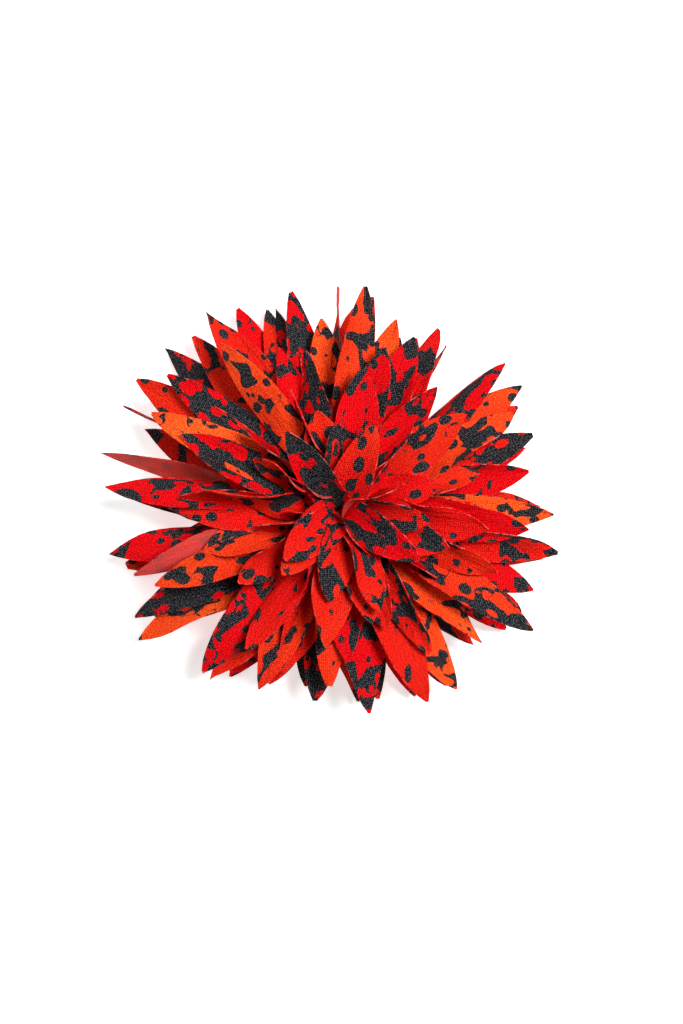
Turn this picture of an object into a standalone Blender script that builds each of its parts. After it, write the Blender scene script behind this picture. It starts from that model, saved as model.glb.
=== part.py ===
"""Flower hair clip: twelve stacked rounds of pointed cloth petals, sewn through the middle and glued by
way of a felt disc to a sprung steel alligator clip.

Lengths are in metres and +Z is up. The origin is on the floor below the middle of the flower, and the
clip lies along X with its finger handles at -X. The lower jaw turns about the hinge, which lies along Y.
"""

import math

import bmesh
import bpy
from mathutils import Vector

MM = 0.001

# Clearances
GAP = 0.3 * MM  # between two pieces that touch
SLIT = 0.4 * MM  # between neighbouring petals of one round
FLOOR_GAP = 1.2 * MM  # below the drooping petal tips of the lowest round, at least

# Petal rounds. Each die is (petals, radius from the middle to a petal tip, rounds cut with it).
LARGE_DIE = (12, 55.0 * MM, 7)
MEDIUM_DIE = (10, 40.0 * MM, 2)
SMALL_DIE = (8, 27.5 * MM, 2)
BUD_DIE = (6, 25.0 * MM, 1)
CLOTH = 0.4 * MM
ROUND_GAP = 0.44 * MM  # between two hubs, so that the sloping petals are still GAP apart
HUB_HOLE = 1.2 * MM
LOWEST_TURN = 8.0 * MM  # radius at which the lowest round's petals part and leave the hub
HIGHEST_TURN = 2.6 * MM  # and the same for the top round
TURN_LENGTH = 3.0 * MM  # stretch over which a petal turns from the hub to its own slope
TOP_LIFT = math.radians(52)  # slope of the top round's petals
LIFT_POWER = 1.8  # above 1, so that the slope grows faster towards the top
WIDEST_HALF = 5.7 * MM  # half the width of a petal at its belly
BELLY_SHARE = 0.47  # how far along its length a petal is widest

# Sewing thread, felt and glue
THREAD_RADIUS = 0.8 * MM  # all strands of the stitch together
TOP_KNOT_RADIUS = 1.5 * MM
BOTTOM_KNOT_RADIUS = 2.2 * MM
KNOT_HEIGHT = 0.9 * MM
FELT_RADIUS = 15.0 * MM
FELT_THICKNESS = 1.5 * MM
GLUE_RING_RADIUS = 7.0 * MM
GLUE_PAD_LENGTH = 28.0 * MM
GLUE_PAD_THICKNESS = 0.5 * MM

# Clip
CLIP_LENGTH = 46.0 * MM
HANDLE_LENGTH = 13.0 * MM  # from the hinge to the end of the handles
JAW_BOW = 5.7 * MM  # how far the lower jaw bows below the hinge
STEEL = 0.6 * MM
UPPER_HALF_WIDTH = 3.75 * MM  # from the handle to just past the hinge, where the jaws begin to taper
UPPER_TIP_HALF_WIDTH = 2.6 * MM
LOWER_TIP_HALF_WIDTH = 2.3 * MM
EAR_INSET = 0.05 * MM  # of an ear's outer face from the side of its jaw
END_ROUNDING = 1.8 * MM
WEB_HALF_LENGTH = 3.0 * MM  # level stretch of the lower jaw under the hinge
HANDLE_PAD = 4.0 * MM  # level stretch at the end of the lower handle
BELLY_START = 13.0 * MM  # from the hinge to the level belly of the lower jaw
BELLY_LENGTH = 6.0 * MM
BITE_LENGTH = 5.5 * MM  # toothed stretch behind the tip of the lower jaw
STRIP_BEND = 2.2 * MM  # radius of the bends in the lower jaw
TEETH = 4
TOOTH_HEIGHT = 0.7 * MM
PIN_RADIUS = 0.6 * MM
PIN_HEAD_RADIUS = 1.4 * MM
PIN_HEAD_HEIGHT = 0.4 * MM
UPPER_EAR_RADIUS = 2.0 * MM
LOWER_EAR_RADIUS = 1.7 * MM

# Torsion spring
WIRE_RADIUS = 0.35 * MM
COIL_RADIUS = 1.35 * MM
COIL_PITCH = 0.75 * MM
COIL_TURNS = 3.5
COIL_ROOM = 0.5 * MM  # between the coil and the steel above and below it
LEG_FROM_PAD = 1.2 * MM  # from the level pad of the lower handle to the ends of the spring's legs

ROUND_SIDES = 32

# Heights, from the floor up
HINGE_Z = JAW_BOW
PLATE_UNDERSIDE = HINGE_Z + COIL_RADIUS + WIRE_RADIUS + COIL_ROOM
PLATE_TOP = PLATE_UNDERSIDE + STEEL
GLUE_PAD_Z = PLATE_TOP + GAP
FELT_Z = GLUE_PAD_Z + GLUE_PAD_THICKNESS + GAP
GLUE_RING_Z = FELT_Z + FELT_THICKNESS + GAP
HUB_PITCH = CLOTH + ROUND_GAP

# The lowest round droops in a straight line from its turn to its tips just above the floor, and its hub
# is as high as it has to be for that line to clear the rim of the felt.
FELT_SHARE = (FELT_RADIUS - LOWEST_TURN) / (LARGE_DIE[1] - LOWEST_TURN)
LOWEST_HUB_Z = (GLUE_RING_Z - FELT_SHARE * FLOOR_GAP) / (1 - FELT_SHARE)
LOWEST_LIFT = -math.asin((LOWEST_HUB_Z - FLOOR_GAP) / (LARGE_DIE[1] - LOWEST_TURN))
GLUE_RING_TOP = LOWEST_HUB_Z - GAP

# Places along and across the clip
HANDLE_X = -CLIP_LENGTH / 2
TIP_X = CLIP_LENGTH / 2
HINGE_X = HANDLE_X + HANDLE_LENGTH
TAPER_X = HINGE_X + WEB_HALF_LENGTH
LOWER_HALF_WIDTH = UPPER_HALF_WIDTH - EAR_INSET - STEEL - GAP  # it works between the upper jaw's ears
EAR_HOLE_RADIUS = PIN_RADIUS + GAP


def material(name, colour, roughness, metallic=0.0):
    made = bpy.data.materials.new(name)
    made.use_nodes = True
    shader = made.node_tree.nodes["Principled BSDF"]
    shader.inputs["Base Color"].default_value = (*colour, 1.0)
    shader.inputs["Roughness"].default_value = roughness
    shader.inputs["Metallic"].default_value = metallic
    return made


def mesh_object(name, points, faces, surface=None, smooth_below=None):
    """A new object of these points and faces, with its faces pointing out."""
    mesh = bpy.data.meshes.new(name)
    mesh.from_pydata(points, [], faces)
    if smooth_below:
        mesh.shade_smooth()
        mesh.set_sharp_from_angle(angle=smooth_below)
    if surface:
        mesh.materials.append(surface)
    made = bpy.data.objects.new(name, mesh)
    bpy.context.scene.collection.objects.link(made)
    return made


def point_outwards(piece):
    work = bmesh.new()
    work.from_mesh(piece.data)
    bmesh.ops.recalc_face_normals(work, faces=work.faces)
    work.to_mesh(piece.data)
    work.free()


def prism(name, outline, lift, surface=None):
    """A closed solid: the outline, a list of 3-D points, pushed along the vector lift."""
    count = len(outline)
    points = [Vector(p) for p in outline] + [Vector(p) + Vector(lift) for p in outline]
    faces = [tuple(range(count)), tuple(range(2 * count - 1, count - 1, -1))]
    for i in range(count):
        j = (i + 1) % count
        faces.append((i, j, count + j, count + i))
    made = mesh_object(name, points, faces, surface)
    point_outwards(made)
    return made


def turned(name, profile, surface=None, sides=ROUND_SIDES, along_y=False, bore=False):
    """A solid turned about Z, or about Y. The profile holds (radius, height) points from one end to the
    other. Without a bore its ends are closed by flat caps, and with one it is a closed ring section."""
    points = []
    for radius, height in profile:
        for k in range(sides):
            turn = math.tau * k / sides
            across, up = radius * math.cos(turn), radius * math.sin(turn)
            points.append((across, height, up) if along_y else (across, up, height))
    rows = len(profile)
    faces = []
    for row in range(rows if bore else rows - 1):
        below, above = row * sides, (row + 1) % rows * sides
        for k in range(sides):
            j = (k + 1) % sides
            faces.append((below + k, below + j, above + j, above + k))
    if not bore:
        faces.append(tuple(range(sides)))
        faces.append(tuple(range((rows - 1) * sides, rows * sides)))
    made = mesh_object(name, points, faces, surface, smooth_below=math.radians(40))
    point_outwards(made)
    return made


def boolean(target, tool, operation):
    """Adds the tool to the target, cuts it away or keeps what both share. The tool isn't part of the model."""
    cut = target.modifiers.new(tool.name, "BOOLEAN")
    cut.operation = operation
    cut.solver = "EXACT"
    cut.object = tool
    tool.hide_render = True
    tool.display_type = "WIRE"


def arc(middle, radius, start, end, steps):
    """Points on an arc in a plane, from one angle to another, both in degrees."""
    points = []
    for k in range(steps + 1):
        turn = math.radians(start + (end - start) * k / steps)
        points.append((middle[0] + radius * math.cos(turn), middle[1] + radius * math.sin(turn)))
    return points


# The flower


def petal_half_width(share):
    """Half the width of a petal at this share of its length: a leaf with a narrow foot and a pointed tip."""
    if share < BELLY_SHARE:
        return WIDEST_HALF * (0.38 + 0.62 * math.sin(math.pi / 2 * share / BELLY_SHARE) ** 1.4)
    return WIDEST_HALF * math.cos(math.pi / 2 * (share - BELLY_SHARE) / (1 - BELLY_SHARE)) ** 0.8


def petal_midline(turn_radius, hub_z, die_radius, lift):
    """(radius, height, share of the petal's length) at each station of a petal, from its root to its tip."""
    length = die_radius - turn_radius
    stations = [0.0, TURN_LENGTH, BELLY_SHARE * length, 0.78 * length, length]
    radius, height, before = turn_radius, hub_z, 0.0
    line = []
    for station in stations:
        slope = lift / 2 if station <= TURN_LENGTH else lift
        radius += (station - before) * math.cos(slope)
        height += (station - before) * math.sin(slope)
        before = station
        line.append((radius, height, station / length))
    return line


def petal_round(name, petals, turn_radius, hub_z, die_radius, lift, first_turn, surface):
    """One die-cut round: a flat hub with a hole, whose petals part at turn_radius and slope up by lift."""
    half_pitch = math.pi / petals
    points = []
    faces = []

    def ring_point(radius, height, turn):
        points.append((radius * math.cos(turn), radius * math.sin(turn), height))
        return len(points) - 1

    count = 2 * petals
    hole = [ring_point(HUB_HOLE, hub_z, first_turn + k * half_pitch) for k in range(count)]
    root = [ring_point(turn_radius, hub_z, first_turn + k * half_pitch) for k in range(count)]
    for k in range(count):
        j = (k + 1) % count
        faces.append((hole[k], root[k], root[j], hole[j]))
    line = petal_midline(turn_radius, hub_z, die_radius, lift)
    for petal in range(petals):
        middle = first_turn + 2 * petal * half_pitch
        row = (root[2 * petal - 1], root[2 * petal], root[2 * petal + 1])
        for radius, height, share in line[1:-1]:
            half = min(petal_half_width(share) / radius, half_pitch - SLIT / radius)
            turns = (middle - half, middle, middle + half)
            after = [ring_point(radius, height, turn) for turn in turns]
            faces.append((row[0], after[0], after[1], row[1]))
            faces.append((row[1], after[1], after[2], row[2]))
            row = after
        tip = ring_point(*line[-1][:2], middle)
        faces.append((row[0], tip, row[1]))
        faces.append((row[1], tip, row[2]))
    made = mesh_object(name, points, faces, surface)
    thicken = made.modifiers.new("cloth", "SOLIDIFY")
    thicken.thickness = CLOTH
    thicken.offset = 1.0
    return made


def flower_rounds(surface):
    """All rounds, from the lowest to the top one, and the height of the top round's hub."""
    dies = (LARGE_DIE, MEDIUM_DIE, SMALL_DIE, BUD_DIE)
    cuts = [(petals, radius) for petals, radius, rounds in dies for _ in range(rounds)]
    for index, (petals, radius) in enumerate(cuts):
        share = index / (len(cuts) - 1)
        petal_round(
            f"petal_round_{index + 1:02d}",
            petals,
            turn_radius=LOWEST_TURN + (HIGHEST_TURN - LOWEST_TURN) * share,
            hub_z=LOWEST_HUB_Z + HUB_PITCH * index,
            die_radius=radius,
            lift=LOWEST_LIFT + (TOP_LIFT - LOWEST_LIFT) * share**LIFT_POWER,
            first_turn=index % 2 * math.pi / petals,
            surface=surface,
        )
    return LOWEST_HUB_Z + HUB_PITCH * (len(cuts) - 1)


def center_stitch(top_hub_z, surface):
    """The thread through all the hubs, with a knot below the lowest round and one on the top round."""
    low = LOWEST_HUB_Z - GAP
    high = top_hub_z + CLOTH + GAP
    profile = [
        (0.6 * BOTTOM_KNOT_RADIUS, low - KNOT_HEIGHT),
        (BOTTOM_KNOT_RADIUS, low - KNOT_HEIGHT / 2),
        (0.8 * BOTTOM_KNOT_RADIUS, low),
        (THREAD_RADIUS, low),
        (THREAD_RADIUS, high),
        (0.8 * TOP_KNOT_RADIUS, high),
        (TOP_KNOT_RADIUS, high + KNOT_HEIGHT / 2),
        (0.6 * TOP_KNOT_RADIUS, high + KNOT_HEIGHT),
    ]
    turned("center_stitch", profile, surface, sides=16)


def felt_and_glue(felt, glue):
    edge = 0.3 * MM  # how far the felt's rim is rounded
    turned(
        "felt_disc",
        [
            (FELT_RADIUS - edge, FELT_Z),
            (FELT_RADIUS, FELT_Z + edge),
            (FELT_RADIUS, FELT_Z + FELT_THICKNESS - edge),
            (FELT_RADIUS - edge, FELT_Z + FELT_THICKNESS),
        ],
        felt,
    )
    inner = BOTTOM_KNOT_RADIUS + GAP
    turned(
        "glue_ring",
        [
            (inner, GLUE_RING_Z),
            (GLUE_RING_RADIUS, GLUE_RING_Z),
            (GLUE_RING_RADIUS, GLUE_RING_TOP),
            (inner, GLUE_RING_TOP),
        ],
        glue,
        bore=True,
    )
    half = UPPER_TIP_HALF_WIDTH
    outline = rounded_plan(-GLUE_PAD_LENGTH / 2, GLUE_PAD_LENGTH / 2, half, half, 0)
    prism("glue_pad", [(x, y, GLUE_PAD_Z) for x, y in outline], (0, 0, GLUE_PAD_THICKNESS), glue)


# The clip


def rounded_plan(start, end, start_half, end_half, taper_x=TAPER_X):
    """Outline seen from above of a strip along X with rounded corners, which keeps its first half width
    as far as taper_x and narrows from there to its end."""
    near = start_half - END_ROUNDING
    far = end_half - END_ROUNDING
    return [
        (taper_x, -start_half),
        *arc((end - END_ROUNDING, -far), END_ROUNDING, -90, 0, 4),
        *arc((end - END_ROUNDING, far), END_ROUNDING, 0, 90, 4),
        (taper_x, start_half),
        *arc((start + END_ROUNDING, near), END_ROUNDING, 90, 180, 4),
        *arc((start + END_ROUNDING, -near), END_ROUNDING, 180, 270, 4),
    ]


def pin_hole(target):
    """Cuts the hole for the hinge pin through both ears of a jaw."""
    reach = UPPER_HALF_WIDTH + 1.0 * MM
    hole = turned(
        f"{target.name}_hole",
        [(EAR_HOLE_RADIUS, -reach), (EAR_HOLE_RADIUS, reach)],
        sides=20,
        along_y=True,
    )
    hole.location = (HINGE_X, 0, HINGE_Z)
    boolean(target, hole, "DIFFERENCE")


def add_ears(target, radius, attach_z, outer_y):
    """Joins a pair of ears to a jaw: each rounded about the hinge and running to attach_z, inside the
    jaw's own steel, with its outer face at outer_y."""
    upwards = attach_z > HINGE_Z
    start, end = (180, 360) if upwards else (0, 180)
    outline = arc((HINGE_X, HINGE_Z), radius, start, end, 10)
    outline.append((outline[-1][0], attach_z))
    outline.append((outline[0][0], attach_z))
    for name, inner in (("left", outer_y - STEEL), ("right", -outer_y)):
        ear = prism(f"{target.name}_{name}_ear", [(x, inner, z) for x, z in outline], (0, STEEL, 0))
        boolean(target, ear, "UNION")


def upper_jaw(surface):
    """The flat plate that the flower is glued to, with two ears bent down to the hinge."""
    outline = rounded_plan(HANDLE_X, TIP_X, UPPER_HALF_WIDTH, UPPER_TIP_HALF_WIDTH)
    plate = prism("upper_jaw", [(x, y, PLATE_UNDERSIDE) for x, y in outline], (0, 0, STEEL), surface)
    add_ears(plate, UPPER_EAR_RADIUS, PLATE_UNDERSIDE + STEEL / 2, UPPER_HALF_WIDTH - EAR_INSET)
    pin_hole(plate)
    return plate


def rounded_path(corners, radius, steps=3):
    """The path through these corners in a plane, each inner corner replaced by an arc."""
    path = [Vector(corners[0])]
    for before, corner, after in zip(corners, corners[1:], corners[2:]):
        corner = Vector(corner)
        back = (Vector(before) - corner).normalized()
        ahead = (Vector(after) - corner).normalized()
        half_angle = back.angle(ahead) / 2
        tangent = radius / math.tan(half_angle)
        middle = corner + (back + ahead).normalized() * radius / math.sin(half_angle)
        start = corner + back * tangent - middle
        turn = start.angle_signed(corner + ahead * tangent - middle)
        for k in range(steps + 1):
            swing = -turn * k / steps
            path.append(
                middle
                + Vector(
                    (
                        start.x * math.cos(swing) - start.y * math.sin(swing),
                        start.x * math.sin(swing) + start.y * math.cos(swing),
                    )
                )
            )
    path.append(Vector(corners[-1]))
    return path


def lower_jaw_midline():
    """The bends of the lower jaw seen from the side, as (x, z) corners in the middle of its steel."""
    middle = STEEL / 2
    web_z = HINGE_Z - COIL_RADIUS - WIRE_RADIUS - COIL_ROOM - middle
    bite_z = PLATE_UNDERSIDE - GAP - TOOTH_HEIGHT - middle
    belly_x = HINGE_X + BELLY_START
    return [
        (HANDLE_X, middle),
        (HANDLE_X + HANDLE_PAD, middle),
        (HINGE_X - WEB_HALF_LENGTH, web_z),
        (HINGE_X + WEB_HALF_LENGTH, web_z),
        (belly_x, middle),
        (belly_x + BELLY_LENGTH, middle),
        (TIP_X - BITE_LENGTH, bite_z),
        (TIP_X, bite_z),
    ]


def lower_jaw(surface, hinge):
    """The bowed jaw that hair goes over: one strip from the lower handle under the hinge to the toothed
    tip, with two ears bent up to the hinge. It turns about the hinge."""
    path = rounded_path(lower_jaw_midline(), STRIP_BEND)
    upper, lower = [], []
    for k, point in enumerate(path):
        along = (path[min(k + 1, len(path) - 1)] - path[max(k - 1, 0)]).normalized()
        across = Vector((-along.y, along.x)) * STEEL / 2
        upper.append(point + across)
        lower.append(point - across)
    tooth_pitch = BITE_LENGTH / (TEETH + 1)
    end = upper.pop()
    for tooth in range(TEETH):
        foot = end.x - (TEETH - tooth) * tooth_pitch
        upper.append(Vector((foot, end.y)))
        upper.append(Vector((foot + tooth_pitch / 2, end.y + TOOTH_HEIGHT)))
    upper.append(end)
    width = 2 * UPPER_HALF_WIDTH
    outline = [(p.x, -width / 2, p.y) for p in [*upper, *reversed(lower)]]
    strip = prism("lower_jaw", outline, (0, width, 0), surface)
    plan = rounded_plan(HANDLE_X, TIP_X, LOWER_HALF_WIDTH, LOWER_TIP_HALF_WIDTH)
    below = -1.0 * MM
    trim = prism("lower_jaw_plan", [(x, y, below) for x, y in plan], (0, 0, PLATE_TOP - below))
    boolean(strip, trim, "INTERSECT")
    web_z = lower_jaw_midline()[2][1]
    add_ears(strip, LOWER_EAR_RADIUS, web_z, LOWER_HALF_WIDTH - EAR_INSET)
    pin_hole(strip)
    put_origin_at(strip, hinge)
    return strip


def put_origin_at(piece, hinge):
    """Moves a piece's origin to the hinge, with the piece where it is, and hangs it on the hinge."""
    for vertex in piece.data.vertices:
        vertex.co -= hinge.location
    piece.parent = hinge


def hinge_pin(surface, hinge):
    """The rivet through the four ears, with a head outside each upper ear."""
    inner = UPPER_HALF_WIDTH + GAP
    outer = inner + PIN_HEAD_HEIGHT
    profile = [
        (0.7 * PIN_HEAD_RADIUS, -outer),
        (PIN_HEAD_RADIUS, -inner - PIN_HEAD_HEIGHT / 2),
        (PIN_HEAD_RADIUS, -inner),
        (PIN_RADIUS, -inner),
        (PIN_RADIUS, inner),
        (PIN_HEAD_RADIUS, inner),
        (PIN_HEAD_RADIUS, inner + PIN_HEAD_HEIGHT / 2),
        (0.7 * PIN_HEAD_RADIUS, outer),
    ]
    pin = turned("hinge_pin", profile, surface, sides=20, along_y=True)
    pin.parent = hinge


def torsion_spring(surface, hinge):
    """The coil round the pin, from a leg under the upper handle to a leg on the lower handle."""
    leg_end = HANDLE_X + HANDLE_PAD + LEG_FROM_PAD
    above = PLATE_UNDERSIDE - GAP - WIRE_RADIUS
    pad, web = (Vector(corner) for corner in lower_jaw_midline()[1:3])
    clear = STEEL / 2 + GAP + WIRE_RADIUS
    slope = (web - pad).normalized()
    normal = Vector((-slope.y, slope.x))
    between = (normal + Vector((0, 1))).normalized()
    knee = web + between * clear / between.dot(normal)
    low_end = pad + slope * ((leg_end - pad.x) / slope.x) + normal * clear
    width = COIL_TURNS * COIL_PITCH
    path = [(leg_end - HINGE_X, width / 2, above - HINGE_Z)]
    steps = round(COIL_TURNS * 14)
    for k in range(steps + 1):
        turn = math.pi / 2 - math.tau * COIL_TURNS * k / steps
        path.append(
            (COIL_RADIUS * math.cos(turn), width * (0.5 - k / steps), COIL_RADIUS * math.sin(turn))
        )
    path.append((knee.x - HINGE_X, -width / 2, knee.y - HINGE_Z))
    path.append((low_end.x - HINGE_X, -width / 2, low_end.y - HINGE_Z))
    curve = bpy.data.curves.new("torsion_spring", "CURVE")
    curve.dimensions = "3D"
    curve.bevel_depth = WIRE_RADIUS
    curve.bevel_resolution = 2
    curve.use_fill_caps = True
    wire = curve.splines.new("POLY")
    wire.points.add(len(path) - 1)
    for point, place in zip(wire.points, path):
        point.co = (*place, 1.0)
    curve.materials.append(surface)
    made = bpy.data.objects.new("torsion_spring", curve)
    bpy.context.scene.collection.objects.link(made)
    made.parent = hinge


def main():
    for old in list(bpy.data.objects):
        bpy.data.objects.remove(old)
    cloth = material("printed_cloth", (0.75, 0.02, 0.01), 0.75)
    thread = material("black_thread", (0.02, 0.02, 0.02), 0.8)
    felt = material("black_felt", (0.015, 0.015, 0.016), 0.95)
    glue = material("clear_glue", (0.75, 0.7, 0.6), 0.3)
    steel = material("nickel_steel", (0.62, 0.62, 0.6), 0.28, metallic=1.0)
    spring_steel = material("spring_steel", (0.5, 0.5, 0.5), 0.3, metallic=1.0)

    top_hub_z = flower_rounds(cloth)
    center_stitch(top_hub_z, thread)
    felt_and_glue(felt, glue)
    upper_jaw(steel)

    hinge = bpy.data.objects.new("clip_hinge", None)
    hinge.location = (HINGE_X, 0, HINGE_Z)
    bpy.context.scene.collection.objects.link(hinge)
    lower_jaw(steel, hinge)
    hinge_pin(steel, hinge)
    torsion_spring(spring_steel, hinge)


main()
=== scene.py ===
"""Looks of the flower hair clip: printed crepe petals, felt, thread, glue and a nickel-plated steel clip.

Lengths are in metres, but petals and cloth are worked out in millimetres, and angles are given in degrees.
"""

import math
import random

import bpy
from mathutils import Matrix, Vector, noise


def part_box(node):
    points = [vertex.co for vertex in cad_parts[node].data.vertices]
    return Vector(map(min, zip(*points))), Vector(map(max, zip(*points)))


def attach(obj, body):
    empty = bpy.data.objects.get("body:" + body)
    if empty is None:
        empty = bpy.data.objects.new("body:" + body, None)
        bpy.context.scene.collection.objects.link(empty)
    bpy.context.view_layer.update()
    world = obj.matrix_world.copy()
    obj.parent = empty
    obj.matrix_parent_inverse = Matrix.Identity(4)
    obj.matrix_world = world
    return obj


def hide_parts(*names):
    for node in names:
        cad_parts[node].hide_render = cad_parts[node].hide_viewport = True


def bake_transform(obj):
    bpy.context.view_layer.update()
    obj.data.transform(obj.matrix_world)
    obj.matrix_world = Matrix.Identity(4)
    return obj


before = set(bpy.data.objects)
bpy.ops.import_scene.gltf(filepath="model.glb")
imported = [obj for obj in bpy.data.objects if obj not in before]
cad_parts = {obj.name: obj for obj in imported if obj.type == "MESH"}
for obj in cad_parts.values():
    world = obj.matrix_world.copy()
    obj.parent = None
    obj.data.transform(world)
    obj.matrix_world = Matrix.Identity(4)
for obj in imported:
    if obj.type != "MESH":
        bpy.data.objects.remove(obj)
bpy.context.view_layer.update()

MM = 0.001
FLOWER = "flower"
UP = Vector((0, 0, 1))
SEED = 3000

# ---------------------------------------------------------------------------------------------------
# Petals
# ---------------------------------------------------------------------------------------------------

# One row for each petal round, from the lowest to the top one, and in it one entry for each petal,
# anticlockwise from the round's first petal: where its tip points (degrees from +X, seen from above), how
# far from the middle the tip is (mm), and what is special about it, from the letters below.
#   t  turned on edge, so that it looks thin from above     u  twisted, so that its pale underside shows
#   d  cut from a part of the print with more charcoal      k  cut from a charcoal patch with red ovals
#   r  cut from a part of the print with more red
#   o  given more painted glow, orange as where light shines through the thin cloth
PETALS = [
    [(0, 47), (33, 48), (64, 44), (87, 50), (110, 53, "k"), (149, 54), (194, 54, "r"), (209, 52),
     (234, 47), (275, 46), (292, 48), (325, 49)],
    [(20, 47, "r"), (58, 48, "t"), (72, 45), (108, 52, "k"), (137, 59, "d"), (157, 52), (193, 54, "r"),
     (228, 48), (245, 44), (278, 46), (316, 43), (348, 48)],
    [(2, 48, "r"), (31, 50), (67, 46, "d"), (91, 55, "t"), (117, 56, "d"), (154, 59, "t"), (174, 50),
     (206, 54, "o"), (236, 48), (258, 43, "k"), (301, 49), (331, 50)],
    [(22, 50, "k"), (33, 48), (82, 53, "t"), (103, 55, "k"), (130, 56), (166, 60, "u"), (190, 57, "r"),
     (212, 58, "o"), (247, 45), (281, 46), (315, 45, "d"), (347, 50, "r")],
    [(359, 51, "o"), (35, 53, "o"), (62, 50, "d"), (96, 47, "o"), (124, 58, "r"), (147, 59, "r"),
     (174, 56), (207, 56, "k"), (232, 51, "r"), (262, 46, "k"), (303, 51, "o"), (338, 50, "r")],
    [(12, 46, "r"), (42, 53, "d"), (74, 48, "o"), (111, 42, "r"), (142, 53, "k"), (174, 57, "d"),
     (197, 52, "u"), (229, 51, "d"), (250, 41, "r"), (278, 49, "d"), (317, 46, "o"), (349, 53, "d")],
    [(354, 45, "r"), (29, 47, "o"), (67, 45, "d"), (84, 54, "o"), (126, 49, "o"), (153, 51, "o"),
     (178, 42, "r"), (202, 48, "o"), (245, 47), (266, 42, "d"), (294, 50, "r"), (328, 54, "d")],
    [(15, 34, "r"), (52, 37), (75, 40, "d"), (103, 39, "k"), (155, 42, "k"), (196, 34, "o"), (236, 40, "r"),
     (272, 36), (302, 40, "d"), (338, 40)],
    [(352, 35, "r"), (38, 37, "r"), (81, 34), (113, 31, "t"), (140, 30, "t"), (172, 34, "t"),
     (215, 30, "r"), (264, 33, "r"), (291, 30, "r"), (324, 28, "t")],
    [(14, 24, "r"), (50, 26, "d"), (104, 24, "d"), (150, 24, "t"), (192, 22, "t"), (243, 23, "t"),
     (285, 28, "r"), (340, 27, "d")],
    [(352, 21, "k"), (45, 18, "t"), (92, 20, "d"), (150, 16, "t"), (186, 15, "t"), (228, 21, "r"),
     (263, 22, "d"), (290, 26, "r")],
    [(20, 14, "t"), (68, 21, "r"), (126, 22, "k"), (222, 18, "d"), (301, 13, "t"), (326, 22, "d")],
]

# Sizes that the CAD model has too, in mm
DIES = [(12, 55.0)] * 7 + [(10, 40.0)] * 2 + [(8, 27.5)] * 2 + [(6, 25.0)]  # petals and radius of each cut
ROUNDS = len(DIES)
LOWEST_TURN = 8.0  # from the middle to where the lowest round's petals leave its hub
TOP_TURN = 2.6
TURN_RADII = [LOWEST_TURN + (TOP_TURN - LOWEST_TURN) * k / (ROUNDS - 1) for k in range(ROUNDS)]
HUB_HOLE = 1.2  # radius

# The cloth and the outline of its petals, in mm
CLOTH = 0.24  # thickness
WIDEST_HALF = 5.1  # half of a petal's width at its belly
NARROWEST_HALF = 0.25  # at its tip
BELLY_SHARE = 0.54  # where along the petal the belly is
FOOT_POWER = 1.25  # how slowly a petal widens from its foot
TIP_POWER = 0.72  # how blunt its point is
FOOT_GAP = 0.96  # share of the hub's edge that the feet of the petals take up
FRAY = 0.05  # share of the width by which the cut edge wanders
ROWS = 18  # faces along one petal
COLUMNS = 6  # faces across it

# How the petals rise, in degrees. A petal starts steeper than its chord and ends flatter, by its arch.
LOWEST_LIFT = -13.5
TOP_LIFT = 40.0
LIFT_POWER = 1.7  # how late the lift grows towards the top round
LOWEST_ARCH = 8.0
TOP_ARCH = 30.0
LEAN_IN = {10: 25.0, 11: 70.0}  # how much further the two top rounds lean in over the middle as they start
FOOT_HANDLE = 0.36  # the curve's handle at the foot, as a share of the straight way to the tip
TIP_HANDLE = 0.33

GLOW_REACH = 42.0  # mm from the middle, where a petal has its full painted glow, the orange of light shining through the thin cloth
GLOW_AT_MIDDLE = 0.15  # share of that painted glow that it has in the middle
HUB_SHADE_TONE = 0.5  # painted shade: the hub is all charcoal, so that the middle of the flower under the petals is dark


def smooth(x):
    x = min(max(x, 0.0), 1.0)
    return x * x * (3 - 2 * x)


def bezier(a, b, c, d, t):
    u = 1 - t
    return a * u**3 + b * (3 * u * u * t) + c * (3 * u * t * t) + d * t**3


def petal_half_width(share, foot):
    """Half the width of a petal at this share of its length, from its foot to its pointed tip."""
    if share < BELLY_SHARE:
        rise = math.sin(math.pi / 2 * share / BELLY_SHARE) ** FOOT_POWER
        return foot + (WIDEST_HALF - foot) * rise
    fall = math.pi / 2 * (share - BELLY_SHARE) / (1 - BELLY_SHARE)
    return WIDEST_HALF * math.cos(fall) ** TIP_POWER


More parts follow.
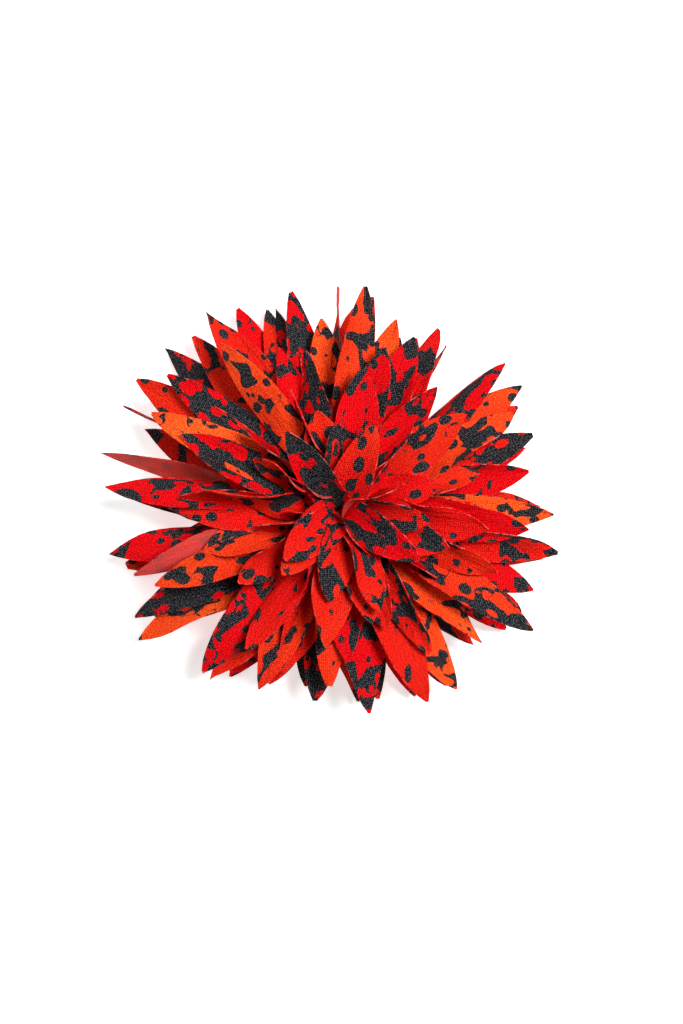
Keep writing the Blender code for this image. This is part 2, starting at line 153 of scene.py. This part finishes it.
class Petal:
    """The curved middle line of one petal and how its cross-section turns, curls, folds and waves."""

    LIFT_SPREAD = (-2, 2)  # degrees
    ARCH_SPREAD = (-3, 5)
    TIP_SPREAD = (-16, 16)
    ROLLS = (-38, 38)
    EDGE_ROLLS = (-78, 78)  # of a petal turned on edge
    TWISTED_ROLLS = (-125, 125)  # of one that shows its underside
    TWISTS = (4, 14)
    CUPS = (0.02, 0.17)  # curvature across the petal, 1/mm
    CUP_SIDES = (-1, 1, 1, 1)  # one in four curls downwards
    CREASES = (0, 0.15, 0.3, 0.45)  # slope of the fold along the middle
    WAVE_HEIGHTS = (0.3, 1.0)  # mm, at the cut edges
    WAVE_COUNTS = (1.0, 2.4)
    WIDTHS = (0.88, 1.06)  # share of the cut width
    TONES = (-0.02, 0.02)  # above 0, the petal has more charcoal
    STYLE_TONES = {"k": 0.17, "d": 0.06, "r": -0.05}
    GLOW_SPREAD = (-0.2, 0.4)  # painted glow of light shining through the thin cloth, from 0, red, to 1, orange
    ORANGE_GLOW = 0.7
    CLOTH_WIDTH = 400  # mm of printed cloth that the petals are cut from
    INWARD_LEAN = 0.35  # how far the upper side faces the middle of the flower
    STIFFER_CUP = 0.4  # petals turned on edge or twisted curl and wave less
    STIFFER_WAVE = 0.5
    ROLL_ONSET = 1.8  # a petal leaves its hub flat, and rolls, bends and folds this fast from there
    BEND_ONSET = 3
    FOLD_ONSET = 4
    TWIST_SWING = 5  # radians of the twist's sine from the foot to the tip
    WAVE_LAG = 1.3  # radians by which the waves at one cut edge are ahead of the middle
    FRAY_PACE = 9  # steps of the noise that wanders along the cut edge, from the foot to the tip
    FLAT_CUP = 1e-4  # 1/mm, below which the cross-section counts as straight

    def __init__(self, index, number, root_turn, root_z):
        entry = PETALS[index][number]
        bearing, reach = entry[:2]
        style = entry[2] if len(entry) > 2 else ""
        dice = random.Random(SEED + 100 * index + number)
        share = index / (ROUNDS - 1)
        lift = LOWEST_LIFT + (TOP_LIFT - LOWEST_LIFT) * share**LIFT_POWER
        lift = math.radians(lift + dice.uniform(*self.LIFT_SPREAD))
        arch = LOWEST_ARCH + (TOP_ARCH - LOWEST_ARCH) * share**2
        arch = math.radians(arch + dice.uniform(*self.ARCH_SPREAD))
        root_radius = TURN_RADII[index]
        direction = math.radians(bearing)
        out = Vector((math.cos(direction), math.sin(direction), 0))
        root_out = Vector((math.cos(root_turn), math.sin(root_turn), 0))
        rise = (reach - root_radius) * math.tan(lift)
        self.root = root_out * root_radius + Vector((0, 0, root_z))
        self.tip = out * reach + Vector((0, 0, root_z + rise))
        span = (self.tip - self.root).length
        start = lift + arch + math.radians(LEAN_IN.get(index, 0.0))
        end = lift - arch + math.radians(dice.uniform(*self.TIP_SPREAD))
        leaving = (root_out + out).normalized()
        self.handle_in = self.root + (leaving * math.cos(start) + UP * math.sin(start)) * span * FOOT_HANDLE
        self.handle_out = self.tip - (out * math.cos(end) + UP * math.sin(end)) * span * TIP_HANDLE
        self.inwards = UP - out * self.INWARD_LEAN
        self.roll = math.radians(dice.uniform(*self.ROLLS))
        self.cup = dice.uniform(*self.CUPS) * dice.choice(self.CUP_SIDES)
        self.crease = dice.choice(self.CREASES)
        self.wave = dice.uniform(*self.WAVE_HEIGHTS)
        if style == "t":
            self.roll = math.radians(dice.choice(self.EDGE_ROLLS))
        if style == "u":
            self.roll = math.radians(dice.choice(self.TWISTED_ROLLS))
        if style in ("t", "u"):
            self.cup *= self.STIFFER_CUP
            self.wave *= self.STIFFER_WAVE
        self.wave_start = dice.uniform(0, math.tau)
        self.waves = dice.uniform(*self.WAVE_COUNTS)
        self.twist = math.radians(dice.uniform(*self.TWISTS))
        self.width = dice.uniform(*self.WIDTHS)
        self.tone = dice.uniform(*self.TONES) + self.STYLE_TONES.get(style, 0.0)
        # painted glow: a random amount per petal, and more on the petals listed with o
        painted_glow = dice.uniform(*self.GLOW_SPREAD) + self.ORANGE_GLOW * (style == "o")
        self.painted_glow = min(max(painted_glow, 0.0), 1.0)
        self.offset = (dice.uniform(0, self.CLOTH_WIDTH), dice.uniform(0, self.CLOTH_WIDTH))
        self.fray = dice.uniform(0, 100)

    def at(self, t):
        return bezier(self.root, self.handle_in, self.handle_out, self.tip, t)

    def heading(self, t):
        near = 0.01
        return (self.at(min(t + near, 1.0)) - self.at(max(t - near, 0.0))).normalized()

    def length(self):
        steps = [self.at(k / 20) for k in range(21)]
        return sum((b - a).length for a, b in zip(steps, steps[1:]))

    def turn(self, t):
        """How far the cross-section is turned about the middle line, which grows from the foot on."""
        swing = math.sin(self.wave_start + self.TWIST_SWING * t)
        return self.roll * smooth(t * self.ROLL_ONSET) + self.twist * swing * smooth(t * self.BEND_ONSET)

    def half_width(self, t, foot):
        half = petal_half_width(t, foot) * (self.width if t > 0 else 1)
        fray = FRAY * noise.noise((self.fray, self.FRAY_PACE * t, 0))
        return max(half * (1 + fray), NARROWEST_HALF)

    def bent(self, t, v, half):
        """Where the point at v, from -1 to 1 across the flat cloth, goes sideways and up in mm."""
        flat_x = v * half
        cup = self.cup * smooth(t * self.BEND_ONSET)
        if abs(cup) < self.FLAT_CUP:
            x = flat_x
            lift = 0
        else:
            x = math.sin(cup * flat_x) / cup
            lift = (1 - math.cos(cup * flat_x)) / cup
        lift += self.crease * smooth(t * self.FOLD_ONSET) * (1 - t) * abs(flat_x)
        swing = math.sin(self.wave_start + math.tau * self.waves * t + self.WAVE_LAG * v)
        lift += self.wave * smooth(t * self.BEND_ONSET) * swing * v * v
        return x, lift


def petal_points(petal, foot):
    """Rows of (place, cloth coordinate) from the foot to the tip. The cloth coordinate holds the place on
    the flat cloth in x and y and the distance to the cut edge in z, all in mm."""
    length = petal.length()
    rows = []
    for row in range(ROWS + 1):
        t = row / ROWS
        along = petal.heading(t)
        flat_side = petal.inwards.cross(along).normalized()
        flat_up = along.cross(flat_side)
        turn = petal.turn(t)
        side = flat_side * math.cos(turn) + flat_up * math.sin(turn)
        up = flat_up * math.cos(turn) - flat_side * math.sin(turn)
        half = petal.half_width(t, foot)
        points = []
        for column in range(COLUMNS + 1):
            v = 2 * column / COLUMNS - 1
            x, lift = petal.bent(t, v, half)
            place = petal.at(t) + side * x + up * lift
            edge = min(half - abs(v * half), (1 - t) * length * 0.5)
            points.append((place, (v * half, t * length, edge)))
        rows.append(points)
    return rows


def sheet_object(name, points, faces, cloth, tones, painted_glows):
    mesh = bpy.data.meshes.new(name)
    mesh.from_pydata([p * MM for p in points], [], faces)
    mesh.attributes.new("cloth", "FLOAT_VECTOR", "POINT").data.foreach_set(
        "vector", [x for place in cloth for x in place]
    )
    mesh.attributes.new("tone", "FLOAT", "POINT").data.foreach_set("value", tones)
    # the painted glow, for the shader to tint the reds orange
    mesh.attributes.new("painted_glow", "FLOAT", "POINT").data.foreach_set("value", painted_glows)
    made = bpy.data.objects.new(name, mesh)
    bpy.context.scene.collection.objects.link(made)
    return made


def baked(piece):
    """Replaces the piece's mesh by what its modifiers make of it, shaded smooth except at cut edges."""
    made = bpy.data.meshes.new_from_object(
        piece.evaluated_get(bpy.context.evaluated_depsgraph_get())
    )
    piece.modifiers.clear()
    old = piece.data
    piece.data = made
    bpy.data.meshes.remove(old)
    made.shade_smooth()
    made.set_sharp_from_angle(angle=math.radians(50))


def petal_round(index, materials):
    """One die-cut round: its hub and all its petals, as one sheet of cloth."""
    count, radius = DIES[index]
    turn_radius = TURN_RADII[index]
    node = f"petal_round_{index + 1:02d}"
    root_z = hub_height(node) + CLOTH
    foot = turn_radius * math.sin(math.pi / count) * FOOT_GAP
    first_turn = index % 2 * math.pi / count  # every other round is turned by half a petal
    points, cloth, tones, painted_glows, faces = [], [], [], [], []
    hole, root = [], []
    for k in range(count):
        middle = first_turn + k * math.tau / count
        petal = Petal(index, k, middle, root_z)
        start = len(points)
        for row in petal_points(petal, foot):
            for place, (x, y, edge) in row:
                # painted glow, growing from the middle towards the outer ends of the petals
                glow_share = GLOW_AT_MIDDLE + (1 - GLOW_AT_MIDDLE) * smooth(place.xy.length / GLOW_REACH)
                points.append(place)
                cloth.append((x + petal.offset[0], y + petal.offset[1], edge))
                tones.append(petal.tone)
                painted_glows.append(petal.painted_glow * glow_share)
        width = COLUMNS + 1
        for row in range(ROWS):
            for column in range(COLUMNS):
                a = start + row * width + column
                faces.append((a, a + width, a + width + 1, a + 1))
        for column in range(width):
            turn = middle - (1 - 2 * column / COLUMNS) * math.asin(foot / turn_radius)
            out = Vector((math.cos(turn), math.sin(turn), 0))
            root.append(start + column)
            # the foot lies on the hub's circle
            points[start + column] = out * turn_radius + UP * root_z
            hole.append(out * HUB_HOLE + UP * root_z)
    first_hole = len(points)
    for place in hole:
        points.append(place)
        cloth.append((place.x + 50, place.y + 50, 3))  # far from any cut edge
        # painted shade: the hub's hole is all charcoal with no glow, fading into each petal's print at its
        # foot
        tones.append(HUB_SHADE_TONE)
        painted_glows.append(0.0)
    ring = len(root)
    for k in range(ring):
        j = (k + 1) % ring
        faces.append((first_hole + k, root[k], root[j], first_hole + j))
    piece = sheet_object(node + "_cloth", points, faces, cloth, tones, painted_glows)
    for surface in materials:
        piece.data.materials.append(surface)
    thicken = piece.modifiers.new("cloth", "SOLIDIFY")
    thicken.thickness = CLOTH * MM
    thicken.offset = -1
    thicken.material_offset = 1  # the underside is the second material, and the cut edge the third
    thicken.material_offset_rim = 2
    baked(piece)
    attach(piece, FLOWER)
    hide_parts(node)


def hub_height(node):
    """Height of the underside of a round's hub, in mm."""
    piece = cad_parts[node]
    places = [piece.matrix_world @ point.co for point in piece.data.vertices]
    return min(place.z for place in places if place.xy.length < 1.5 * HUB_HOLE * MM) / MM


# ---------------------------------------------------------------------------------------------------
# Materials
# ---------------------------------------------------------------------------------------------------

# The bright colours are for the lighter specks along the threads, partly the crepe's grain and partly
# painted sheen; the orange ones are for the painted glow of light shining through the thin cloth.
RED = (0.42, 0.0006, 0.003, 1)
BRIGHT_RED = (0.90, 0.006, 0.009, 1)
ORANGE = (0.74, 0.046, 0.006, 1)
BRIGHT_ORANGE = (0.98, 0.155, 0.022, 1)
CHARCOAL = (0.005, 0.006, 0.008, 1)
CHARCOAL_LIGHT = (0.080, 0.080, 0.086, 1)
EDGE_PINK = (0.66, 0.12, 0.10, 1)
FELT_BLACK = (0.004, 0.004, 0.005, 1)
FELT_GREY = (0.055, 0.055, 0.06, 1)
THREAD_BLACK = (0.003, 0.003, 0.003, 1)
THREAD_GREY = (0.012, 0.012, 0.013, 1)
GLUE_YELLOW = (0.62, 0.57, 0.47, 1)
GLUE_PALE = (0.82, 0.79, 0.70, 1)
NICKEL = (0.66, 0.65, 0.62)
SPRING_STEEL = (0.5, 0.5, 0.49)
DULL_STEEL = 0.72  # share of the steel's colour that its dull streaks have

# The printed cloth. Scales are in features per mm, turns in degrees from across the petal.
ZONE_SCALE = 0.06  # wide zones with more and with less charcoal
ZONE_DEPTH = 0.36
PATCH_SCALE = 0.19
PATCH_LEVEL = 0.568  # the height of the noise from which a patch is charcoal
OVAL_SCALE = 0.31
OVAL_LEVELS = (0.583, 0.9)  # between which the charcoal has red ovals in it
DOT_SCALE = 0.26
PRINT_SOFTNESS = 0.025  # how blurred the edge of a spot is, as a share of the spots' spacing
THREAD_PITCH = 0.6  # mm between the twisted threads of the crepe, which run askew across a petal
WEFT_PITCH = 1.15 * THREAD_PITCH
THREAD_TURNS = (35, 125)
GRAIN_SCALE = 2.4
WEAVE_DEPTH = 0.18  # of the threads in the grain, next to its noise
WRINKLE_DEPTH = 3.5  # of the crepe's wrinkles, against the grain
RIM_WIDTH = 0.14  # mm of the upper side that the heat of the cut made pale
RIM_PALENESS = 0.3
EDGE_PALENESS = 0.8


class Nodes:
    """Short names for building a material's node tree."""

    def __init__(self, name):
        self.material = bpy.data.materials.new(name)
        self.material.use_nodes = True
        self.tree = self.material.node_tree
        self.shader = self.tree.nodes["Principled BSDF"]

    def add(self, kind, **settings):
        node = self.tree.nodes.new(kind)
        for key, value in settings.items():
            setattr(node, key, value)
        return node

    def plug(self, value, socket):
        if isinstance(value, bpy.types.NodeSocket):
            self.tree.links.new(value, socket)
        else:
            socket.default_value = value

    def shade(self, **values):
        """Sets or links the shader's sockets, named with _ for a space."""
        for name, value in values.items():
            self.plug(value, self.shader.inputs[name.replace("_", " ")])

    def math(self, operation, *values, clamp=False):
        node = self.add("ShaderNodeMath", operation=operation, use_clamp=clamp)
        for value, socket in zip(values, node.inputs):
            self.plug(value, socket)
        return node.outputs[0]

    def inverse(self, value):
        return self.math("SUBTRACT", 1.0, value)

    def product(self, *values):
        """All the values multiplied together."""
        result = values[0]
        for value in values[1:]:
            result = self.math("MULTIPLY", result, value)
        return result

    def mix(self, factor, a, b):
        node = self.add("ShaderNodeMix", data_type="RGBA")
        self.plug(factor, node.inputs[0])
        self.plug(a, node.inputs[6])
        self.plug(b, node.inputs[7])
        return node.outputs[2]

    def step(self, value, edge, soft):
        """0 below edge and 1 above it, with a soft stretch between."""
        node = self.add("ShaderNodeMapRange", interpolation_type="SMOOTHSTEP")
        self.plug(value, node.inputs["Value"])
        if isinstance(edge, bpy.types.NodeSocket):
            self.plug(self.math("SUBTRACT", edge, soft), node.inputs["From Min"])
            self.plug(self.math("ADD", edge, soft), node.inputs["From Max"])
        else:
            node.inputs["From Min"].default_value = edge - soft
            node.inputs["From Max"].default_value = edge + soft
        return node.outputs[0]

    def attribute(self, name, output):
        return self.add("ShaderNodeAttribute", attribute_name=name).outputs[output]

    def place(self):
        return self.add("ShaderNodeTexCoord").outputs["Object"]

    def stretched(self, vector, scale):
        node = self.add("ShaderNodeVectorMath", operation="MULTIPLY")
        self.plug(vector, node.inputs[0])
        node.inputs[1].default_value = scale
        return node.outputs[0]

    def noise(self, vector, scale, detail=2.0, distortion=0.0, roughness=0.5):
        node = self.add("ShaderNodeTexNoise")
        self.plug(vector, node.inputs["Vector"])
        node.inputs["Scale"].default_value = scale
        node.inputs["Detail"].default_value = detail
        node.inputs["Roughness"].default_value = roughness
        node.inputs["Distortion"].default_value = distortion
        return node.outputs[0]

    def wave(self, vector, turn, pitch):
        """A sine from -1 to 1 along the direction turn, in degrees, that repeats every pitch."""
        node = self.add("ShaderNodeVectorMath", operation="DOT_PRODUCT")
        self.plug(vector, node.inputs[0])
        turn = math.radians(turn)
        node.inputs[1].default_value = Vector((math.cos(turn), math.sin(turn), 0)) * math.tau / pitch
        return self.math("SINE", node.outputs["Value"])

    def spots(self, vector, scale, randomness, smallest, spread):
        """1 inside round spots of many sizes and 0 between them. Sizes are shares of the spots' spacing."""
        node = self.add("ShaderNodeTexVoronoi")
        self.plug(vector, node.inputs["Vector"])
        node.inputs["Scale"].default_value = scale
        node.inputs["Randomness"].default_value = randomness
        size = self.math("MULTIPLY_ADD", node.outputs["Color"], spread, smallest)
        return self.inverse(self.step(node.outputs["Distance"], size, PRINT_SOFTNESS))

    def bump(self, height, strength, distance):
        node = self.add("ShaderNodeBump")
        node.inputs["Strength"].default_value = strength
        node.inputs["Distance"].default_value = distance
        self.plug(height, node.inputs["Height"])
        self.plug(node.outputs[0], self.shader.inputs["Normal"])


def charcoal_print(n, flat, zone):
    """Where the cloth is charcoal: in wavy patches apart from the ovals in them, and in dots on the red."""
    patches = n.noise(n.stretched(flat, (1, 0.72, 1)), PATCH_SCALE, detail=1.0, distortion=0.6)
    shift = n.math("MULTIPLY_ADD", zone, ZONE_DEPTH, -ZONE_DEPTH / 2)
    # the tone attribute shifts the print per petal, and on the hub it is painted shade that makes it all
    # charcoal
    level = n.math("ADD", shift, n.math("ADD", patches, n.attribute("tone", "Fac")))
    dark = n.step(level, PATCH_LEVEL, soft=0.008)

    first, last = OVAL_LEVELS
    oval_places = n.stretched(flat, (1, 0.52, 1))
    ovals = n.spots(oval_places, OVAL_SCALE, randomness=0.8, smallest=0.19, spread=0.26)
    ovals = n.product(ovals, n.step(level, first, soft=0.01), n.inverse(n.step(level, last, soft=0.02)))
    dot_places = n.stretched(flat, (1, 0.76, 1))
    dots = n.spots(dot_places, DOT_SCALE, randomness=0.9, smallest=0.07, spread=0.36)

    inside = n.product(dark, n.inverse(ovals))
    outside = n.product(n.inverse(dark), dots)
    return n.math("ADD", inside, outside, clamp=True)


def printed_cloth(name, strength, pale=0.0, cut=False):
    """Crepe cloth printed in charcoal on red: wavy charcoal patches with red ovals in them, and charcoal
    dots on the red. The underside shows the same print, paler, and the heat-sealed cut edge is pale in
    broken stretches."""
    # The reds carry a painted glow, orange as where light shines through the thin cloth, and both reds and
    # charcoal carry lighter specks that are partly grain and partly painted sheen.
    n = Nodes(name)
    cloth = n.attribute("cloth", "Vector")
    flat = n.stretched(cloth, (1, 1, 0))
    zone = n.noise(flat, ZONE_SCALE, detail=0.0)
    charcoal = n.product(charcoal_print(n, flat, zone), strength)

    along, across = THREAD_TURNS
    weave = n.product(n.wave(flat, along, THREAD_PITCH), n.wave(flat, across, WEFT_PITCH))
    fuzz = n.noise(flat, GRAIN_SCALE, detail=1.0, roughness=0.6)
    grain = n.math("MULTIPLY_ADD", weave, WEAVE_DEPTH, fuzz)
    # lighter specks along the threads: partly the crepe's own grain and partly painted sheen, the glints of
    # its shiny threads
    grain_and_sheen_specks = n.step(grain, 0.55, soft=0.13)
    # painted glow: the reds turn orange by the glow attribute, in patches across the cloth
    patchy = n.math("MULTIPLY_ADD", zone, 1.2, 0.3)
    painted_glow = n.math("MULTIPLY", n.attribute("painted_glow", "Fac"), patchy, clamp=True)
    reds = n.mix(painted_glow, n.mix(grain_and_sheen_specks, RED, BRIGHT_RED), n.mix(grain_and_sheen_specks, ORANGE, BRIGHT_ORANGE))
    # the charcoal's lighter specks too are partly grain and partly painted sheen
    charcoals = n.mix(n.step(grain, 0.6, soft=0.1), CHARCOAL, CHARCOAL_LIGHT)
    colour = n.mix(pale, n.mix(charcoal, reds, charcoals), EDGE_PINK)

    broken = n.step(n.noise(cloth, scale=0.5, detail=3.0), 0.56, soft=0.06)
    if cut:
        colour = n.mix(n.product(broken, EDGE_PALENESS), colour, EDGE_PINK)
    else:
        edge = n.add("ShaderNodeSeparateXYZ")
        n.plug(cloth, edge.inputs[0])
        rim = n.inverse(n.step(edge.outputs[2], RIM_WIDTH, soft=0.08))
        colour = n.mix(n.product(rim, broken, RIM_PALENESS), colour, EDGE_PINK)
    n.shade(Base_Color=colour, Roughness=0.65, Specular_IOR_Level=0.03)
    wrinkles = n.noise(n.stretched(flat, (1, 0.16, 1)), scale=0.75, detail=2.0, distortion=0.5)
    n.bump(n.math("MULTIPLY_ADD", wrinkles, WRINKLE_DEPTH, grain), strength=0.6, distance=0.0003)
    return n.material


def steel(name, colour, roughness):
    """Plated steel with fine streaks along its length and cloudy gloss."""
    n = Nodes(name)
    place = n.place()
    streaks = n.noise(n.stretched(place, (1, 14, 14)), scale=260, detail=4.0)
    clouds = n.noise(place, scale=900, detail=2.0)
    dull = tuple(DULL_STEEL * c for c in colour)
    n.shade(
        Base_Color=n.mix(n.product(streaks, 0.6), (*colour, 1), (*dull, 1)),
        Metallic=1.0,
        Roughness=n.math("MULTIPLY_ADD", clouds, 0.15, roughness),
    )
    n.bump(streaks, strength=0.06, distance=0.0001)
    return n.material


def felt():
    n = Nodes("black_felt")
    fibres = n.noise(n.place(), scale=1100, detail=7.0, distortion=3.0, roughness=0.8)
    colour = n.mix(n.step(fibres, 0.5, soft=0.2), FELT_BLACK, FELT_GREY)
    n.shade(Base_Color=colour, Roughness=0.95, Sheen_Weight=0.1, Specular_IOR_Level=0.1)
    n.bump(fibres, strength=0.9, distance=0.0006)
    return n.material


def thread():
    n = Nodes("black_thread")
    strands = n.noise(n.stretched(n.place(), (1, 1, 0.3)), scale=2500, detail=3.0)
    n.shade(Base_Color=n.mix(strands, THREAD_BLACK, THREAD_GREY), Roughness=0.8, Specular_IOR_Level=0.1)
    n.bump(strands, strength=0.6, distance=0.0003)
    return n.material


def glue():
    n = Nodes("clear_glue")
    cloudy = n.noise(n.place(), scale=500, detail=3.0)
    n.shade(Base_Color=n.mix(cloudy, GLUE_YELLOW, GLUE_PALE), Roughness=0.25)
    n.bump(cloudy, strength=0.3, distance=0.0005)
    return n.material


# ---------------------------------------------------------------------------------------------------
# Felt, spring and clip
# ---------------------------------------------------------------------------------------------------

FELT_RINGS = 10
FELT_SIDES = 72
FELT_FUZZ = 0.12  # mm by which the felt's faces are uneven
FELT_NIBBLE = 0.18  # mm by which its cut edge is uneven
PLATE_EDGE = 0.00012  # bevel of the jaws' sheet steel
RING_EDGE = 0.0004  # bevel of the glue in the ring
PAD_EDGE = 0.0002  # bevel of the glue under the clip


def felt_pad(surface):
    """The round felt backing, cut from a sheet of felt: slightly uneven, with a soft rounded edge."""
    low, high = (Vector(corner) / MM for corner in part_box("felt_disc"))
    radius = (high.x - low.x) / 2
    bend = (high.z - low.z) / 2
    rounded = 2.2 * bend  # how far in from the rim the faces start to round off
    points, faces = [], []
    for side in (1, -1):
        for ring in range(1, FELT_RINGS + 1):
            from_middle = ring / FELT_RINGS * radius
            flat = min(from_middle, radius - bend)
            over = smooth((from_middle - radius + rounded) / rounded)
            for k in range(FELT_SIDES):
                turn = math.tau * k / FELT_SIDES
                fuzz = FELT_FUZZ * noise.noise((flat * math.cos(turn), flat * math.sin(turn), 7 * side))
                reach = from_middle + FELT_NIBBLE * over * (noise.noise((k * 0.9, side, 3)) - 1)
                height = side * (bend * math.sqrt(1 - 0.82 * over**2) - abs(fuzz))
                points.append(
                    Vector((reach * math.cos(turn), reach * math.sin(turn), low.z + bend + height))
                )
    for side in range(2):
        first = side * FELT_RINGS * FELT_SIDES
        middle = len(points)
        points.append(Vector((0, 0, low.z + bend + (bend if side == 0 else -bend))))
        for k in range(FELT_SIDES):
            j = (k + 1) % FELT_SIDES
            corners = (middle, first + k, first + j)
            faces.append(corners if side == 0 else corners[::-1])
            for ring in range(FELT_RINGS - 1):
                a = first + ring * FELT_SIDES
                corners = (a + k, a + FELT_SIDES + k, a + FELT_SIDES + j, a + j)
                faces.append(corners if side == 0 else corners[::-1])
    top_rim = (FELT_RINGS - 1) * FELT_SIDES
    low_rim = top_rim + FELT_RINGS * FELT_SIDES
    for k in range(FELT_SIDES):
        j = (k + 1) % FELT_SIDES
        faces.append((top_rim + k, low_rim + k, low_rim + j, top_rim + j))
    mesh = bpy.data.meshes.new("felt_pad")
    mesh.from_pydata([point * MM for point in points], [], faces)
    mesh.shade_smooth()
    mesh.materials.append(surface)
    piece = bpy.data.objects.new("felt_pad", mesh)
    bpy.context.scene.collection.objects.link(piece)
    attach(piece, FLOWER)
    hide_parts("felt_disc")


def spring_wire(surface):
    """The torsion spring: a smoothed copy of the CAD model's spring wire."""
    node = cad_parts["torsion_spring"]
    piece = bpy.data.objects.new("spring_wire", node.data.copy())
    piece.matrix_world = node.matrix_world
    bpy.context.scene.collection.objects.link(piece)
    piece.data.materials.clear()
    piece.data.materials.append(surface)
    smoother = piece.modifiers.new("round", "SUBSURF")
    smoother.levels = 1
    smoother.render_levels = 1
    baked(piece)
    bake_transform(piece)
    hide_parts("torsion_spring")


def dress(node, surface, bevel=0.0):
    """Gives a CAD node its material, and rounds its edges a little."""
    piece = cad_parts[node]
    for slot in piece.material_slots:
        slot.material = surface
    if bevel:
        rounding = piece.modifiers.new("edges", "BEVEL")
        rounding.width = bevel
        rounding.segments = 2
        rounding.limit_method = "ANGLE"
        rounding.angle_limit = math.radians(40)
        rounding.harden_normals = False


# ---------------------------------------------------------------------------------------------------
# Stage
# ---------------------------------------------------------------------------------------------------

FLOOR_HALF = 3.0
FLOOR_COLOUR = (0.9, 0.9, 0.9, 1)
FLOOR_GLOW = (0.93, 1, 0.99, 1)  # makes the floor as white as the photo's background
FLOOR_GLOW_STRENGTH = 0.62
SKY_FADES = (0.06, 0.3)  # heights, from 0 at the horizon to 1 overhead, between which the sky gets dark
OVERHEAD_LIGHT = 0.05
LAMPS = [  # name, place, size, watts
    ("key", (0.33, 0.15, 0.87), 0.34, 12.2),
    ("fill", (-0.5, 0.4, 0.7), 0.5, 2.2),
]
LAMP_TARGET = Vector((0, 0, 0.01))
CAMERA_TARGET = Vector((0, 0, 0.012))
CAMERA_DISTANCE = 0.9
CAMERA_ELEVATION = 88  # degrees: the photo is taken from nearly straight above
CAMERA_SENSOR = 36  # mm
CAMERA_LENS = 131  # mm


def camera():
    data = bpy.data.cameras.new("camera")
    data.sensor_width = CAMERA_SENSOR
    data.lens = CAMERA_LENS
    made = bpy.data.objects.new("camera", data)
    elevation = math.radians(CAMERA_ELEVATION)
    backwards = Vector((0, -math.cos(elevation), math.sin(elevation)))
    made.location = CAMERA_TARGET + CAMERA_DISTANCE * backwards
    made.rotation_euler = (math.radians(90) - elevation, 0, 0)
    bpy.context.scene.collection.objects.link(made)
    bpy.context.scene.camera = made
    bpy.context.scene.view_settings.view_transform = "Standard"


def sky():
    """A world that is white at the horizon and nearly dark overhead."""
    world = bpy.data.worlds.new("studio")
    world.use_nodes = True
    tree = world.node_tree
    background = tree.nodes["Background"]
    direction = tree.nodes.new("ShaderNodeTexCoord").outputs["Generated"]
    split = tree.nodes.new("ShaderNodeSeparateXYZ")
    tree.links.new(direction, split.inputs[0])
    fall = tree.nodes.new("ShaderNodeMapRange")
    fall.interpolation_type = "SMOOTHSTEP"
    fall.inputs["From Min"].default_value = SKY_FADES[0]
    fall.inputs["From Max"].default_value = SKY_FADES[1]
    fall.inputs["To Min"].default_value = 1.0
    fall.inputs["To Max"].default_value = OVERHEAD_LIGHT
    tree.links.new(split.outputs[2], fall.inputs["Value"])
    tree.links.new(fall.outputs[0], background.inputs["Strength"])
    background.inputs["Color"].default_value = (1, 1, 1, 1)
    bpy.context.scene.world = world


def lamp(name, place, size, watts):
    light = bpy.data.lights.new(name, "AREA")
    light.shape = "DISK"
    light.size = size
    light.energy = watts
    made = bpy.data.objects.new(name, light)
    made.location = place
    made.rotation_euler = (LAMP_TARGET - Vector(place)).to_track_quat("-Z", "Y").to_euler()
    bpy.context.scene.collection.objects.link(made)


def stage():
    mesh = bpy.data.meshes.new("floor")
    corners = [(-1, -1, 0), (1, -1, 0), (1, 1, 0), (-1, 1, 0)]
    mesh.from_pydata([Vector(corner) * FLOOR_HALF for corner in corners], [], [(0, 1, 2, 3)])
    floor = bpy.data.objects.new("floor", mesh)
    bpy.context.scene.collection.objects.link(floor)
    n = Nodes("floor")
    n.shade(Base_Color=FLOOR_COLOUR, Roughness=0.9)
    n.shade(Emission_Color=FLOOR_GLOW, Emission_Strength=FLOOR_GLOW_STRENGTH)
    mesh.materials.append(n.material)


camera()
sky()
for settings in LAMPS:
    lamp(*settings)
stage()
cloth_materials = [
    printed_cloth("printed_cloth", 1.0),
    printed_cloth("cloth_underside", 0.5, pale=0.42),
    printed_cloth("cut_edge", 0.9, cut=True),
]
for round_index in range(ROUNDS):
    petal_round(round_index, cloth_materials)
clip_steel = steel("clip_steel", NICKEL, 0.22)
dress("upper_jaw", clip_steel, PLATE_EDGE)
dress("lower_jaw", clip_steel, PLATE_EDGE)
dress("hinge_pin", clip_steel)
spring_wire(steel("spring_steel", SPRING_STEEL, 0.25))
felt_pad(felt())
dress("center_stitch", thread())
glue_surface = glue()
dress("glue_ring", glue_surface, RING_EDGE)
dress("glue_pad", glue_surface, PAD_EDGE)
